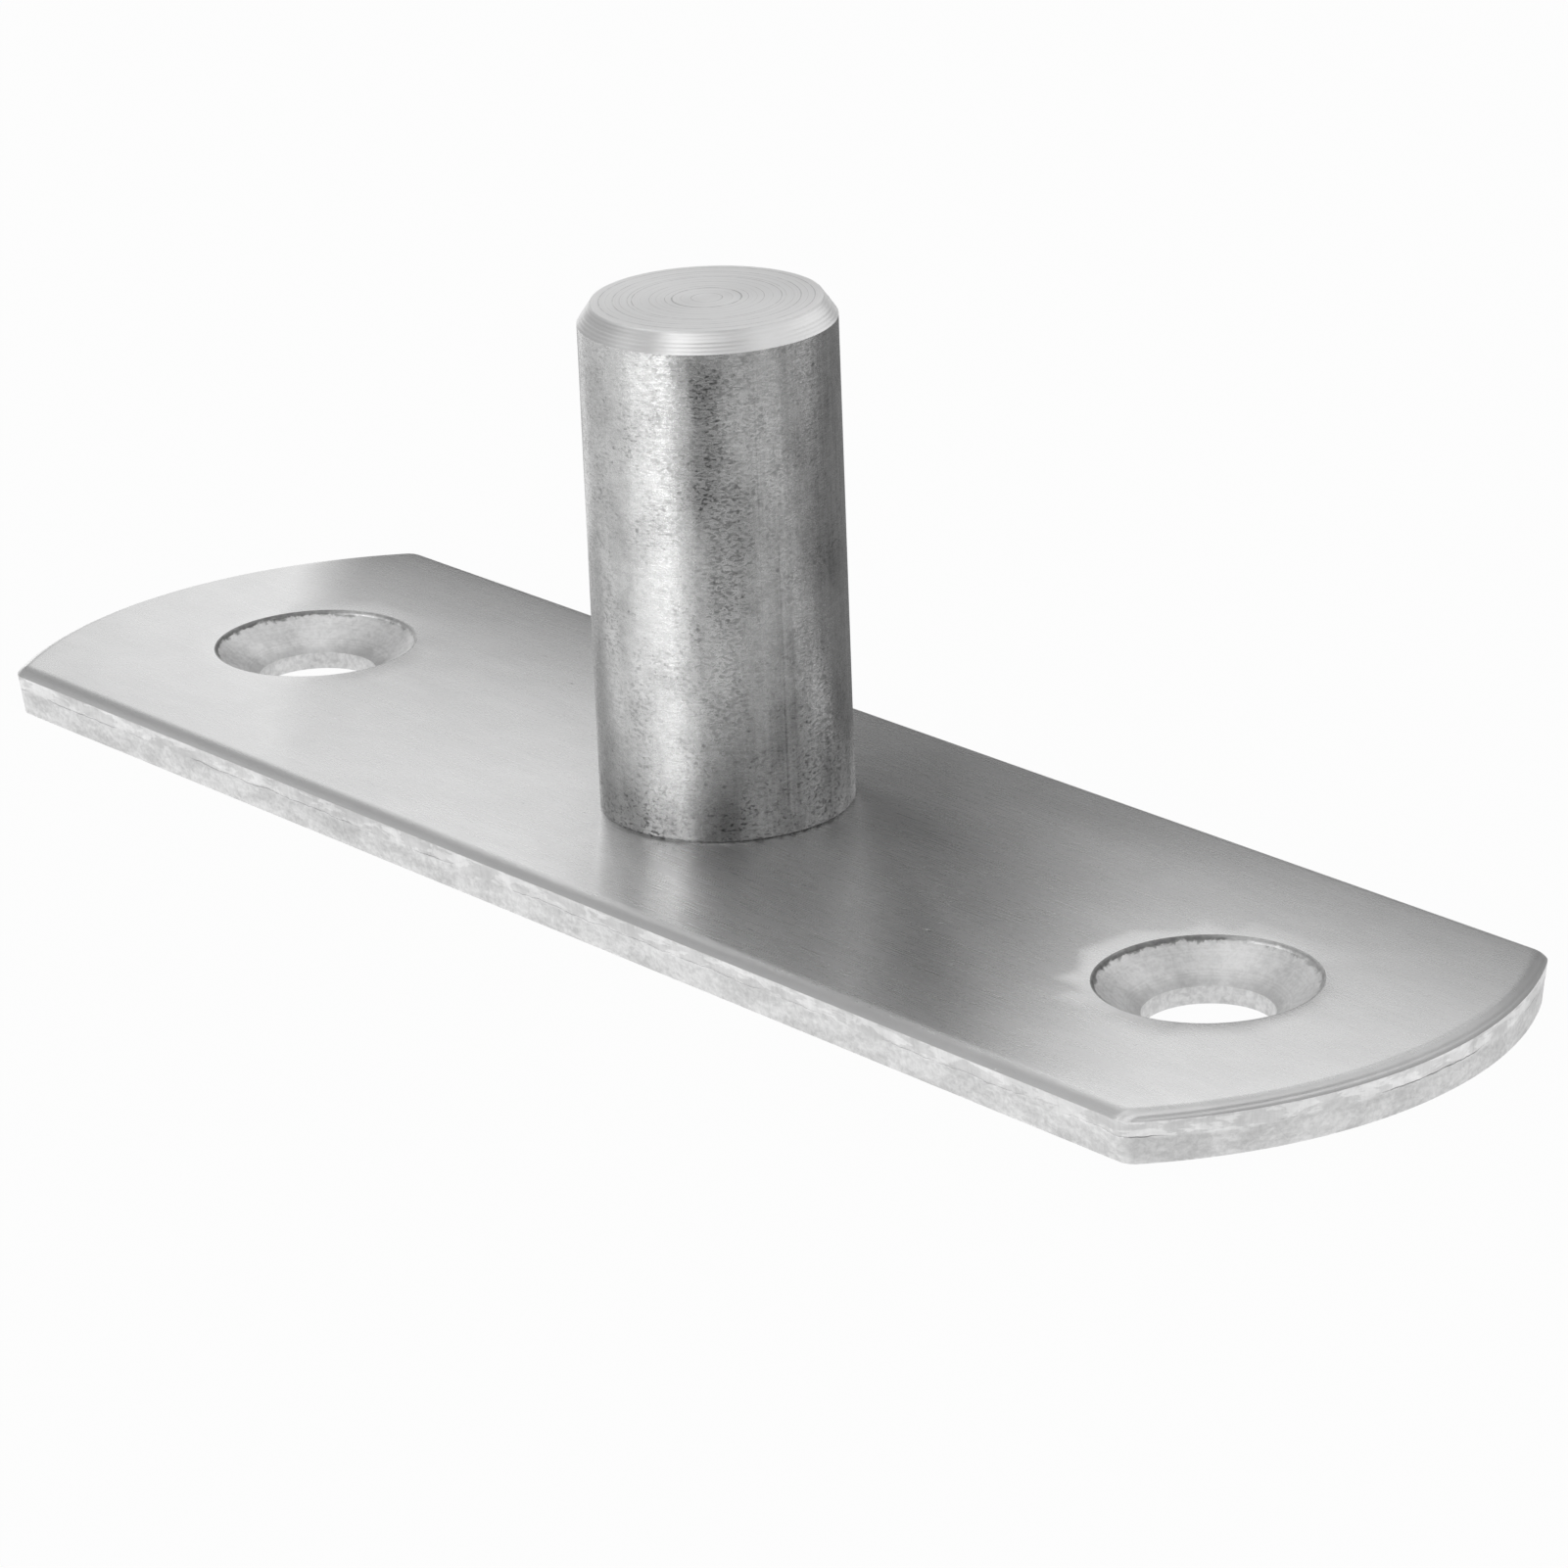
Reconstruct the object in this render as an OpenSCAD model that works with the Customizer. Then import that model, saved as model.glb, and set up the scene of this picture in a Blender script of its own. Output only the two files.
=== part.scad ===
// Pivot hinge for a glass door: a flat steel plate with an upright pivot pin
// riveted through its middle. Two countersunk screws hold the plate down, and
// the socket in the door's fitting turns on the pin.
// The origin lies on the pin's axis, at the underside of the plate. X runs
// along the plate and Z up the pin.

/* [Plate] */
// Length of the plate, from tip to tip of its curved ends
plate_l = 112; // [100:1:150]
// Width of the plate
plate_w = 32; // [28:1:44]
// Thickness of the plate
plate_t = 3; // [2.6:0.1:5]
// Radius of the curved ends, seen from above
end_r = 26; // [20:1:40]
// Radius of the corners where the long sides meet the curved ends
corner_r = 1.5; // [0.8:0.1:4]
// Width of the rolled-over edge that cutting the plate left round its top face
roll_w = 1; // [0.6:0.1:1.2]
// Drop of the rolled-over edge
roll_h = 0.5; // [0.2:0.05:0.5]
// How far the sheared sides lean in between the rolled edge and the underside
side_lean = 0.3; // [0:0.05:0.5]

/* [Screw holes] */
// Distance between the centres of the two screw holes
hole_spacing = 80.6; // [70:0.2:88]
// Diameter of the straight part of a screw hole
hole_d = 7.4; // [6.5:0.1:9]
// Diameter of the countersink at the top face, over its rounded lip
sink_d = 12.8; // [12:0.1:13.5]
// Angle between opposite sides of the countersink
sink_angle = 110; // [100:1:120]
// Radius of the rounded lip round the countersink
lip_r = 0.25; // [0.1:0.05:0.4]

/* [Pivot pin] */
// Diameter of the pin
pin_d = 15; // [13:0.5:20]
// Height of the pin above the plate
pin_h = 30.5; // [20:0.2:45]
// Width of the chamfer at the top of the pin
chamfer_w = 0.8; // [0.4:0.05:1.5]
// Height of the chamfer at the top of the pin
chamfer_h = 1.2; // [0.4:0.1:2.5]
// Size of the fine bevel at the foot of the pin
foot_bevel = 0.15; // [0.05:0.05:0.4]

/* [Rivet] */
// Diameter of the tenon that runs down from the pin through the plate
tenon_d = 10; // [8:0.5:11]
// Diameter that the tenon's lower end is spread to, at the underside
rivet_d = 12.8; // [12:0.1:15]
// Height of the spread end of the tenon
rivet_h = 1.4; // [0.8:0.1:1.8]
// How far the spread end stays inside the underside, so that the plate lies flat
rivet_recess = 0.1; // [0.05:0.05:0.3]
// Gap between the tenon and its hole, all round
tenon_gap = 0.02; // [0.01:0.01:0.05]

/* [Hidden] */
$fn = 96;
// Length by which a cut runs past the face that it opens
overrun = 1;
// Radius of the rolled edge's arc, which leaves the top face without a step
roll_r = (roll_w ^ 2 + roll_h ^ 2) / (2 * roll_h);
// How much farther out the sides would reach if they ran up to the top face
side_flare = side_lean * roll_h / (plate_t - roll_h);
// Centre of a curved end, on the X axis
end_x = plate_l / 2 - end_r;
// Amount by which a corner's full circle crosses the sides that it rounds off
corner_cross = 0.02;
// Centre of a corner
corner_y = plate_w / 2 - corner_r + corner_cross;
corner_x = end_x + sqrt((end_r - corner_r + corner_cross) ^ 2 - corner_y ^ 2);
// Direction in which a curved end runs into its corner
end_angle = atan2(corner_y, corner_x - end_x);
// Height of the pin's end face
pin_top = plate_t + pin_h;

// Section of the plate from x = 0 out to its widest point, at x = reach
module plate_section(reach) {
    difference() {
        polygon([[0, 0], [reach - side_lean, 0], [reach + side_flare, plate_t], [0, plate_t]]);
        translate([reach - roll_w, plate_t - roll_r])
            difference() {
                square(2 * roll_r);
                circle(roll_r);
            }
    }
}

// Bar that has the plate's two long sides and runs past both its ends
module long_sides() {
    length = plate_l + 2 * overrun;
    translate([-length / 2, 0, 0])
        rotate([90, 0, 90])
            linear_extrude(length) {
                plate_section(plate_w / 2);
                mirror([1, 0]) plate_section(plate_w / 2);
            }
}

// Stadium that has the plate's two curved ends and is wider than the plate
module curved_ends() {
    translate([-end_x, -end_r, 0]) cube([2 * end_x, 2 * end_r, plate_t]);
    for (side = [-1, 1])
        translate([side * end_x, 0, 0]) rotate_extrude() plate_section(end_r);
}

// What is cut away outside the rounded corner at +X and +Y
module corner_waste() {
    reach = 3 * corner_r;
    translate([corner_x, corner_y, 0])
        difference() {
            linear_extrude(plate_t)
                polygon([
                    [0, 0],
                    reach * [cos(end_angle), sin(end_angle)],
                    [reach, reach],
                    [0, reach]
                ]);
            cylinder(h = plate_t, r1 = corner_r - side_lean, r2 = corner_r + side_flare);
        }
}

module plate_blank() {
    difference() {
        intersection() {
            long_sides();
            curved_ends();
        }
        for (mx = [0, 1], my = [0, 1])
            mirror([mx, 0, 0]) mirror([0, my, 0]) corner_waste();
    }
}

// Countersunk screw hole: a straight hole, a cone and a lip that rounds over
// into the top face
module screw_hole() {
    hole_r = hole_d / 2;
    sink_r = sink_d / 2;
    cone_r = sink_r - lip_r;
    cone_top = plate_t - lip_r;
    cone_foot = cone_top - (cone_r - hole_r) / tan(sink_angle / 2);
    rotate_extrude() {
        polygon([
            [0, -overrun],
            [hole_r, -overrun],
            [hole_r, cone_foot],
            [cone_r, cone_top],
            [cone_r, plate_t + overrun],
            [0, plate_t + overrun]
        ]);
        translate([cone_r, cone_top])
            difference() {
                square([lip_r, lip_r + overrun]);
                translate([lip_r, 0]) circle(lip_r);
            }
    }
}

// Hole for the tenon, opened out at the underside for its spread end
module tenon_hole() {
    bore_r = tenon_d / 2 + tenon_gap;
    flare_r = rivet_d / 2 + tenon_gap;
    rotate_extrude()
        polygon([
            [0, -overrun],
            [flare_r, -overrun],
            [flare_r, 0],
            [bore_r, rivet_h],
            [bore_r, plate_t + overrun],
            [0, plate_t + overrun]
        ]);
}

// Flat plate cut from sheet, with its two screw holes and the hole for the tenon
module base_plate() {
    color([0.78, 0.78, 0.78])
        difference() {
            plate_blank();
            for (side = [-1, 1])
                translate([side * hole_spacing / 2, 0, 0]) screw_hole();
            tenon_hole();
        }
}

// Turned pin: spread rivet end, tenon, shoulder that sits on the plate, straight
// journal and chamfered end
module pivot_pin() {
    pin_r = pin_d / 2;
    tenon_r = tenon_d / 2;
    rivet_r = rivet_d / 2;
    recess_r = rivet_r - (rivet_r - tenon_r) * rivet_recess / rivet_h;
    color([0.6, 0.6, 0.6])
        rotate_extrude()
            polygon([
                [0, rivet_recess],
                [recess_r, rivet_recess],
                [tenon_r, rivet_h],
                [tenon_r, plate_t],
                [pin_r - foot_bevel, plate_t],
                [pin_r, plate_t + foot_bevel],
                [pin_r, pin_top - chamfer_h],
                [pin_r - chamfer_w, pin_top],
                [0, pin_top]
            ]);
}

base_plate();
pivot_pin();
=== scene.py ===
import math

import bmesh
import bpy
import numpy as np
from mathutils import Matrix, Vector, geometry


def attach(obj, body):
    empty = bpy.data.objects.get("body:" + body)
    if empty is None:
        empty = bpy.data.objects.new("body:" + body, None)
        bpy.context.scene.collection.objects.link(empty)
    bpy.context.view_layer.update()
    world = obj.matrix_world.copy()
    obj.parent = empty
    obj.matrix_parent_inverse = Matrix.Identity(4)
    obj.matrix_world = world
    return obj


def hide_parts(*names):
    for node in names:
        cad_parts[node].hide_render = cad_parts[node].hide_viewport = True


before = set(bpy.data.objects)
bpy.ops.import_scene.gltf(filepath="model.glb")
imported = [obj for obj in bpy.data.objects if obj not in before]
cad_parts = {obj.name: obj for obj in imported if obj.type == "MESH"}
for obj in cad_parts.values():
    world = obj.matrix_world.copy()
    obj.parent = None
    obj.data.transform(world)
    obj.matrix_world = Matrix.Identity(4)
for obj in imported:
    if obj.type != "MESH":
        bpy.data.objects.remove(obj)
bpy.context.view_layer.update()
mm = 0.001

# Base plate. Steel strip 3 mm thick, blanked in one stroke of a press, which rolls the top edge
# over and leaves sheared sides with a burnished band above a torn one. Its face is brushed
# lengthwise, and two countersunk screws hold it down.
plate_length = 112 * mm
plate_width = 32 * mm
plate_thick = 3 * mm
end_radius = 26 * mm
corner_radius = 1.5 * mm
hole_spacing = 80.6 * mm
tenon_hole_radius = 5.02 * mm
tenon_flare_radius = 6.42 * mm
tenon_flare_height = 1.4 * mm
weld_gap = 0.0005 * mm
edge_sizes = {
    "Thickness": plate_thick,
    "Side lean": 0.3 * mm,
    "Roll width": 1 * mm,
    "Roll drop": 0.5 * mm,
    "Column step": 0.18 * mm,
    "Tear height": 1.6 * mm,
    "Tear wander": 0.3 * mm,
    "Tear depth": 0.045 * mm,
    "Torn depth": 0.03 * mm,
    "Streak depth": 0.012 * mm,
}
sink_sizes = {
    "Thickness": plate_thick,
    "Hole spacing": hole_spacing,
    "Bore radius": 3.7 * mm,
    "Sink radius": 6.4 * mm,
    "Half angle": math.radians(55),
    "Lip radius": 0.25 * mm,
    "Lip wear": 0.05 * mm,
    "Chatter depth": 0.006 * mm,
}


class Wiring:
    """Adds nodes to one tree. A value is a number, a vector, a word or another node's socket."""

    def __init__(self, tree):
        self.tree = tree

    def feed(self, socket, value):
        if isinstance(value, bpy.types.NodeSocket):
            self.tree.links.new(value, socket)
        else:
            socket.default_value = value

    def node(self, kind, feeds=None, **settings):
        made = self.tree.nodes.new(kind)
        for name, value in settings.items():
            setattr(made, name, value)
        for key, value in (feeds or {}).items():
            self.feed(made.inputs[key], value)
        return made

    def calc(self, operation, *values, clamp=False):
        made = self.node("ShaderNodeMath", operation=operation, use_clamp=clamp)
        for socket, value in zip(made.inputs, values):
            self.feed(socket, value)
        return made.outputs[0]

    def times(self, *values):
        total = values[-1]
        for value in reversed(values[:-1]):
            total = self.calc("MULTIPLY", value, total)
        return total

    def plus(self, total, value, share, middle=0.0):
        """Adds a share of a value, counted from its middle, to a total."""
        if middle:
            value = self.calc("SUBTRACT", value, middle)
        return self.calc("ADD", total, self.times(value, share))

    def vector(self, operation, *values, out="Vector"):
        made = self.node("ShaderNodeVectorMath", operation=operation)
        for socket, value in zip(made.inputs, values):
            self.feed(socket, value)
        return made.outputs[out]

    def xyz(self, x, y, z):
        return self.node("ShaderNodeCombineXYZ", {0: x, 1: y, 2: z}).outputs[0]

    def parts(self, vector):
        return self.node("ShaderNodeSeparateXYZ", {0: vector}).outputs

    def fade(self, value, start, end, low=0.0, high=1.0):
        """Rises smoothly from low at start to high at end."""
        feeds = {"Value": value, "From Min": start, "From Max": end, "To Min": low, "To Max": high}
        made = self.node("ShaderNodeMapRange", feeds, interpolation_type="SMOOTHSTEP")
        return made.outputs[0]

    def noise(self, place, size, detail=2.0, roughness=0.5):
        """Noise between 0 and 1 whose grains are size wide, a length or one for each axis."""
        across = (size, size, size) if isinstance(size, float) else size
        scaled = self.vector("MULTIPLY", place, tuple(1 / s for s in across))
        feeds = {"Vector": scaled, "Scale": 1.0, "Detail": detail, "Roughness": roughness}
        return self.node("ShaderNodeTexNoise", feeds).outputs[0]


def new_geometry_tree(name, sizes):
    """Empty Geometry Nodes tree with one named input for each size."""
    tree = bpy.data.node_groups.new(name, "GeometryNodeTree")
    tree.interface.new_socket("Geometry", in_out="OUTPUT", socket_type="NodeSocketGeometry")
    tree.interface.new_socket("Geometry", in_out="INPUT", socket_type="NodeSocketGeometry")
    for size_name, value in sizes.items():
        socket = tree.interface.new_socket(size_name, in_out="INPUT", socket_type="NodeSocketFloat")
        socket.default_value = value
    wires = Wiring(tree)
    return tree, wires, wires.node("NodeGroupInput").outputs


def keep(wires, shape, name, value, kind="FLOAT"):
    """Stores a value on every point of a shape under a name."""
    feeds = {"Geometry": shape, "Name": name, "Value": value}
    made = wires.node("GeometryNodeStoreNamedAttribute", feeds, data_type=kind, domain="POINT")
    return made.outputs[0]


def kept(wires, name, kind="FLOAT"):
    return wires.node("GeometryNodeInputNamedAttribute", {"Name": name}, data_type=kind).outputs[0]


def painted(wires, shape, material, where=True):
    """Gives a material to a shape, or to a part of it."""
    feeds = {"Geometry": shape, "Selection": where, "Material": material}
    return wires.node("GeometryNodeSetMaterial", feeds).outputs[0]


def section_line(wires, start, end, rows):
    """Straight stretch of a section, from one (reach, rise) to another."""
    feeds = {"Start": wires.xyz(*start, 0.0), "End": wires.xyz(*end, 0.0)}
    line = wires.node("GeometryNodeCurvePrimitiveLine", feeds).outputs[0]
    feeds = {"Curve": line, "Count": rows + 1}
    return wires.node("GeometryNodeResampleCurve", feeds, mode="COUNT").outputs[0]


def section_arc(wires, centre, radius, start, sweep, rows):
    """Round stretch of a section, about a centre (reach, rise)."""
    feeds = {"Resolution": rows + 1, "Radius": radius, "Start Angle": start, "Sweep Angle": sweep}
    arc = wires.node("GeometryNodeCurveArc", feeds, mode="RADIUS").outputs[0]
    feeds = {"Geometry": arc, "Translation": wires.xyz(*centre, 0.0)}
    return wires.node("GeometryNodeTransform", feeds).outputs[0]


def swept(wires, path, stretches):
    """Carries a section along a path and keeps each point's reach, rise, edge and outward."""
    joined = wires.node("GeometryNodeJoinGeometry")
    for stretch in stretches:
        wires.feed(joined.inputs[0], stretch)
    rows = wires.node("GeometryNodeCurveToMesh", {"Curve": joined.outputs[0]}).outputs[0]
    feeds = {"Geometry": rows, "Distance": weld_gap}
    rows = wires.node("GeometryNodeMergeByDistance", feeds).outputs[0]
    place = wires.parts(wires.node("GeometryNodeInputPosition").outputs[0])
    rows = keep(wires, rows, "reach", place[0])
    rows = keep(wires, rows, "rise", place[1])
    section = wires.node("GeometryNodeMeshToCurve", {"Mesh": rows}).outputs[0]
    feeds = {"Curve": path, "Profile Curve": section}
    return wires.node("GeometryNodeCurveToMesh", feeds).outputs[0]


def run_tree(tree, start_mesh, sizes):
    """Gives a mesh to a tree and returns the plain mesh that the tree makes from it."""
    maker = bpy.data.objects.new("maker", start_mesh)
    bpy.context.scene.collection.objects.link(maker)
    modifier = maker.modifiers.new("tree", "NODES")
    modifier.node_group = tree
    for item in tree.interface.items_tree:
        if item.in_out == "INPUT" and item.name in sizes:
            modifier[item.identifier] = sizes[item.name]
    depsgraph = bpy.context.evaluated_depsgraph_get()
    evaluated = maker.evaluated_get(depsgraph)
    mesh = bpy.data.meshes.new_from_object(evaluated, depsgraph=depsgraph)
    maker.modifiers.clear()
    bpy.data.objects.remove(maker)
    return mesh


def plate_outline(step):
    """Points round the plate at its widest, anticlockwise."""
    end_x = plate_length / 2 - end_radius
    corner_y = plate_width / 2 - corner_radius
    corner_x = end_x + math.sqrt((end_radius - corner_radius) ** 2 - corner_y**2)
    turn = math.atan2(corner_y, corner_x - end_x)
    quarter = []
    count = round(turn * end_radius / step)
    for i in range(count + 1):
        a = turn * i / count
        quarter.append((end_x + end_radius * math.cos(a), end_radius * math.sin(a)))
    count = round((math.pi / 2 - turn) * corner_radius / step)
    for i in range(1, count + 1):
        a = turn + (math.pi / 2 - turn) * i / count
        x = corner_x + corner_radius * math.cos(a)
        y = corner_y + corner_radius * math.sin(a)
        quarter.append((x, y))
    count = round(corner_x / step)
    for i in range(1, count + 1):
        quarter.append((corner_x * (1 - i / count), plate_width / 2))
    left = [(-x, y) for x, y in reversed(quarter[:-1])]
    upper = quarter + left
    lower = [(x, -y) for x, y in reversed(upper[1:-1])]
    return upper + lower


def blanked_edge_tree(face_steel, side_steel):
    """Tree that carries the blanked section round the outline and tears its lower side."""
    tree, wires, size = new_geometry_tree("Blanked edge", edge_sizes)
    thick = size["Thickness"]
    path = wires.node("GeometryNodeMeshToCurve", {"Mesh": size["Geometry"]}).outputs[0]
    feeds = {"Curve": path, "Length": size["Column step"]}
    path = wires.node("GeometryNodeResampleCurve", feeds, mode="LENGTH").outputs[0]
    place = wires.node("GeometryNodeInputPosition").outputs[0]
    tangent = wires.node("GeometryNodeInputTangent").outputs[0]
    side = wires.vector("NORMALIZE", wires.vector("CROSS_PRODUCT", tangent, (0, 0, 1)))
    sign = wires.calc("SIGN", wires.vector("DOT_PRODUCT", side, place, out="Value"))
    path = keep(wires, path, "edge", place, "FLOAT_VECTOR")
    outward = wires.vector("MULTIPLY", side, wires.xyz(sign, sign, sign))
    path = keep(wires, path, "outward", outward, "FLOAT_VECTOR")

    wall_top = wires.calc("SUBTRACT", thick, size["Roll drop"])
    lean = size["Side lean"]
    tear = size["Tear height"]

    def reach_at(height):
        share = wires.calc("SUBTRACT", 1.0, wires.calc("DIVIDE", height, wall_top))
        return wires.times(-1.0, lean, share)

    below = wires.calc("SUBTRACT", tear, 0.06 * mm)
    above = wires.calc("ADD", tear, 0.06 * mm)
    width = size["Roll width"]
    drop = size["Roll drop"]
    squares = wires.calc("ADD", wires.times(width, width), wires.times(drop, drop))
    roll_radius = wires.calc("DIVIDE", squares, wires.times(2.0, drop))
    start = wires.calc("ARCTAN2", wires.calc("SUBTRACT", roll_radius, drop), width)
    sweep = wires.calc("SUBTRACT", math.pi / 2, start)
    centre = (wires.times(-1.0, width), wires.calc("SUBTRACT", thick, roll_radius))
    stretches = [
        section_line(wires, (reach_at(0.0), 0.0), (reach_at(below), below), 13),
        section_line(wires, (reach_at(below), below), (reach_at(above), above), 4),
        section_line(wires, (reach_at(above), above), (0.0, wall_top), 7),
        section_arc(wires, centre, roll_radius, start, sweep, 10),
    ]
    band = swept(wires, path, stretches)

    edge = kept(wires, "edge", "FLOAT_VECTOR")
    rise = kept(wires, "rise")
    reach = kept(wires, "reach")
    wander = wires.calc("SUBTRACT", wires.noise(edge, 2.2 * mm, 4.0, 0.6), 0.5)
    wander = wires.times(wander, 2.0, size["Tear wander"])
    up = wires.calc("DIVIDE", rise, tear)
    smooth_span = wires.calc("SUBTRACT", wall_top, tear)
    down = wires.calc("DIVIDE", wires.calc("SUBTRACT", wall_top, rise), smooth_span)
    weight = wires.calc("MAXIMUM", 0.0, wires.calc("MINIMUM", up, down))
    new_rise = wires.plus(rise, wander, weight)
    gap = wires.calc("ABSOLUTE", wires.calc("SUBTRACT", rise, tear))
    crack = wires.fade(gap, 0.045 * mm, 0.0)
    here = wires.fade(wires.noise(edge, 7.0 * mm, 1.0), 0.36, 0.5)
    crack = wires.times(crack, here)
    torn = wires.fade(rise, tear, wires.calc("SUBTRACT", tear, 0.12 * mm))
    grit = wires.noise(wires.node("GeometryNodeInputPosition").outputs[0], 0.55 * mm, 3.0, 0.6)
    grit = wires.times(torn, grit, size["Torn depth"])
    on_wall = wires.fade(rise, wall_top, wires.calc("SUBTRACT", wall_top, 0.25 * mm))
    streak = wires.times(wires.noise(edge, 0.3 * mm, 2.0), size["Streak depth"])
    streak = wires.times(streak, on_wall)
    rough = wires.calc("ADD", grit, streak)
    pushed = wires.calc("ADD", wires.times(crack, size["Tear depth"]), rough)
    new_reach = wires.calc("SUBTRACT", reach, pushed)
    side = kept(wires, "outward", "FLOAT_VECTOR")
    spot = wires.vector("MULTIPLY_ADD", side, wires.xyz(new_reach, new_reach, new_reach), edge)
    spot = wires.vector("ADD", spot, wires.xyz(0.0, 0.0, new_rise))
    band = wires.node("GeometryNodeSetPosition", {"Geometry": band, "Position": spot}).outputs[0]
    band = keep(wires, band, "tear_line", crack)
    band = keep(wires, band, "torn", torn)
    band = wires.node("GeometryNodeRealizeInstances", {"Geometry": band}).outputs[0]
    band = painted(wires, band, side_steel)
    over = wires.calc("GREATER_THAN", rise, wires.calc("ADD", wall_top, 0.01 * mm))
    band = painted(wires, band, face_steel, over)
    wires.node("NodeGroupOutput", {0: band})
    return tree


def round_path(wires, columns):
    """Circle that a section is turned round. It lends its directions, not its size."""
    feeds = {"Resolution": columns, "Radius": 10 * mm}
    circle = wires.node("GeometryNodeCurvePrimitiveCircle", feeds).outputs[0]
    place = wires.node("GeometryNodeInputPosition").outputs[0]
    return keep(wires, circle, "outward", wires.vector("NORMALIZE", place), "FLOAT_VECTOR")


def countersink_tree(cut_steel):
    """Tree that turns one countersunk hole and places it twice along the plate."""
    tree, wires, size = new_geometry_tree("Countersunk hole", sink_sizes)
    thick = size["Thickness"]
    path = round_path(wires, 180)
    bore = size["Bore radius"]
    lip = size["Lip radius"]
    cone_radius = wires.calc("SUBTRACT", size["Sink radius"], lip)
    cone_top = wires.calc("SUBTRACT", thick, lip)
    cone_width = wires.calc("SUBTRACT", cone_radius, bore)
    depth = wires.calc("DIVIDE", cone_width, wires.calc("TANGENT", size["Half angle"]))
    cone_foot = wires.calc("SUBTRACT", cone_top, depth)
    stretches = [
        section_line(wires, (bore, 0.0), (bore, cone_foot), 10),
        section_line(wires, (bore, cone_foot), (cone_radius, cone_top), 26),
        section_arc(wires, (size["Sink radius"], cone_top), lip, math.pi, -math.pi / 2, 6),
    ]
    hole = swept(wires, path, stretches)
    rise = kept(wires, "rise")
    reach = kept(wires, "reach")
    side = kept(wires, "outward", "FLOAT_VECTOR")
    spot = wires.vector("MULTIPLY", side, wires.xyz(reach, reach, reach))
    spot = wires.vector("ADD", spot, wires.xyz(0.0, 0.0, rise))
    hole = wires.node("GeometryNodeSetPosition", {"Geometry": hole, "Position": spot}).outputs[0]
    half = wires.calc("DIVIDE", size["Hole spacing"], 2.0)
    feeds = {"Count": 2, "Start Location": wires.xyz(wires.times(half, -1.0), 0.0, 0.0)}
    feeds["Offset"] = wires.xyz(size["Hole spacing"], 0.0, 0.0)
    centres = wires.node("GeometryNodeMeshLine", feeds, mode="OFFSET").outputs[0]
    feeds = {"Points": centres, "Instance": hole}
    holes = wires.node("GeometryNodeInstanceOnPoints", feeds).outputs[0]
    holes = wires.node("GeometryNodeRealizeInstances", {"Geometry": holes}).outputs[0]
    here = wires.node("GeometryNodeInputPosition").outputs[0]
    wear = wires.times(wires.noise(here, 1.6 * mm, 2.0), size["Lip wear"])
    above_cone = wires.fade(rise, wires.calc("SUBTRACT", thick, 0.45 * mm), cone_top)
    below_face = wires.fade(rise, thick, wires.calc("SUBTRACT", thick, 0.06 * mm))
    at_lip = wires.times(above_cone, below_face)
    rings = wires.noise(wires.xyz(rise, 0.0, 0.0), 0.13 * mm, 1.0)
    above_bore = wires.fade(rise, cone_foot, wires.calc("ADD", cone_foot, 0.1 * mm))
    below_lip = wires.fade(rise, cone_top, wires.calc("SUBTRACT", cone_top, 0.1 * mm))
    chatter = wires.times(wires.times(above_bore, below_lip), rings, size["Chatter depth"])
    outwards = wires.calc("ADD", wires.times(wear, at_lip), chatter)
    shift = wires.vector("MULTIPLY", side, wires.xyz(outwards, outwards, outwards))
    holes = wires.node("GeometryNodeSetPosition", {"Geometry": holes, "Offset": shift}).outputs[0]
    wires.node("NodeGroupOutput", {0: painted(wires, holes, cut_steel)})
    return tree


def loops_of(mesh, height):
    """Closed loops of a mesh's open edges that lie at one height, as lists of places."""
    form = bmesh.new()
    form.from_mesh(mesh)
    bmesh.ops.remove_doubles(form, verts=form.verts, dist=weld_gap)
    ring = {}
    for edge in form.edges:
        if edge.is_boundary and all(abs(v.co.z - height) < 0.02 * mm for v in edge.verts):
            for v in edge.verts:
                ring.setdefault(v, []).append(edge.other_vert(v))
    loops = []
    walked = set()
    for first in ring:
        if first in walked:
            continue
        loop = [first]
        spot = ring[first][0]
        before = first
        while spot is not first:
            loop.append(spot)
            walked.add(spot)
            ahead = [v for v in ring[spot] if v is not before]
            before = spot
            spot = ahead[0]
        loops.append([v.co.copy() for v in loop])
    form.free()
    return loops


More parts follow.
